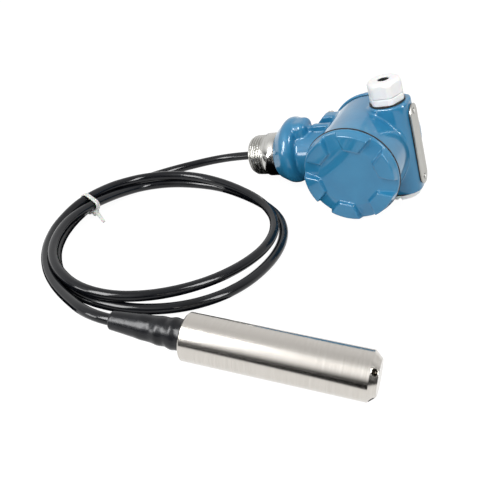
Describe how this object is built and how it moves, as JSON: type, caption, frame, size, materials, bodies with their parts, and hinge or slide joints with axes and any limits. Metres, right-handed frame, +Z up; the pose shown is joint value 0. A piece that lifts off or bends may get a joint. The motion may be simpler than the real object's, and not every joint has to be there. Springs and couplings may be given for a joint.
{
  "type": "liquid level transmitter",
  "caption": "Submersible level transmitter: cast field housing with screw covers, cable gland and threaded neck, a coiled cable and a stainless pressure probe.",
  "frame": {"origin": "centre of the footprint of the housing and the probe, on the surface they lie on", "axes": "+Z up, +Y away from the viewer across the coil, +X to the viewer's right"},
  "size_m": [0.2895, 0.3094, 0.1028],
  "materials": {
    "blue_enamel": "glossy stoved enamel on a die casting",
    "stainless_steel": "turned stainless steel",
    "white_nylon": "moulded white nylon",
    "black_rubber": "moulded black rubber",
    "cable_jacket": "extruded glossy black jacket",
    "shrink_polymer": "satin black shrink sleeve",
    "wire_insulation": "thin extruded insulation",
    "terminal_plastic": "moulded thermoplastic",
    "glass_laminate": "coated circuit board",
    "ceramic": "ground ceramic"
  },
  "bodies": {
    "housing": {"housing_body": "blue_enamel", "nameplate": "stainless_steel", "nameplate_rivets": "stainless_steel", "earth_screw": "stainless_steel", "earth_washer": "stainless_steel", "gland_body": "white_nylon", "gland_gasket": "black_rubber", "process_connector": "stainless_steel", "connector_seal": "black_rubber", "cable_clamp_ring": "stainless_steel", "cable_grommet": "black_rubber", "cable_tail": "cable_jacket", "signal_wires": "wire_insulation", "terminal_block": "terminal_plastic", "terminal_screws": "stainless_steel", "terminal_block_screws": "stainless_steel", "feedthrough_bush": "black_rubber", "circuit_board": "glass_laminate", "board_screws": "stainless_steel", "probe_case": "stainless_steel", "pressure_cell": "ceramic", "cell_seal": "black_rubber", "cell_retainer": "stainless_steel", "probe_board": "glass_laminate", "tail_plug": "stainless_steel", "tail_grommet": "black_rubber", "cable_probe_end": "cable_jacket", "shrink_sleeve": "shrink_polymer", "cable_coil": "cable_jacket", "cable_housing_run": "cable_jacket", "cable_probe_run": "cable_jacket", "cable_tie": "white_nylon"},
    "front_cover_ring": {"front_cover_seal": "black_rubber"},
    "front_cover": {"front_cover": "blue_enamel"},
    "rear_cover_ring": {"rear_cover_seal": "black_rubber"},
    "rear_cover": {"rear_cover": "blue_enamel"},
    "gland_insert": {"gland_seal": "black_rubber"},
    "gland_nut": {"gland_nut": "white_nylon"},
    "plug_gasket": {"blanking_plug_gasket": "black_rubber"},
    "blanking_plug": {"blanking_plug": "white_nylon"}
  },
  "joints": [
    {"name": "front_cover_travel", "type": "slide", "parent": "housing", "child": "front_cover_ring", "axis": [-0.4191, -0.8989, -0.1279], "range_m": [0, 0.008]},
    {"name": "front_cover_turn", "type": "hinge", "parent": "front_cover_ring", "child": "front_cover", "pos_m": [0.0471, 0.06112, 0.03687], "axis": [-0.4191, -0.8989, -0.1279], "range_deg": [0, 1440]},
    {"name": "rear_cover_travel", "type": "slide", "parent": "housing", "child": "rear_cover_ring", "axis": [0.4191, 0.8989, 0.1279], "range_m": [0, 0.008]},
    {"name": "rear_cover_turn", "type": "hinge", "parent": "rear_cover_ring", "child": "rear_cover", "pos_m": [0.07217, 0.11487, 0.04452], "axis": [0.4191, 0.8989, 0.1279], "range_deg": [0, 1440]},
    {"name": "gland_nut_travel", "type": "slide", "parent": "housing", "child": "gland_insert", "axis": [-0.2747, -0.0087, 0.9615], "range_m": [0, 0.006]},
    {"name": "gland_nut_turn", "type": "hinge", "parent": "gland_insert", "child": "gland_nut", "pos_m": [0.0736, 0.08873, 0.08276], "axis": [-0.2747, -0.0087, 0.9615], "range_deg": [0, 1440]},
    {"name": "blanking_plug_travel", "type": "slide", "parent": "housing", "child": "plug_gasket", "axis": [0.2747, 0.0087, -0.9615], "range_m": [0, 0.0075]},
    {"name": "blanking_plug_turn", "type": "hinge", "parent": "plug_gasket", "child": "blanking_plug", "pos_m": [0.09371, 0.08937, 0.01238], "axis": [0.2747, 0.0087, -0.9615], "range_deg": [0, 1800]}
  ],
  "couplings": [
    {"joint": "front_cover_travel", "follows": "front_cover_turn", "m_per_rad": 0.00031831},
    {"joint": "rear_cover_travel", "follows": "rear_cover_turn", "m_per_rad": 0.00031831},
    {"joint": "gland_nut_travel", "follows": "gland_nut_turn", "m_per_rad": 0.00023873},
    {"joint": "blanking_plug_travel", "follows": "blanking_plug_turn", "m_per_rad": 0.00023873}
  ]
}
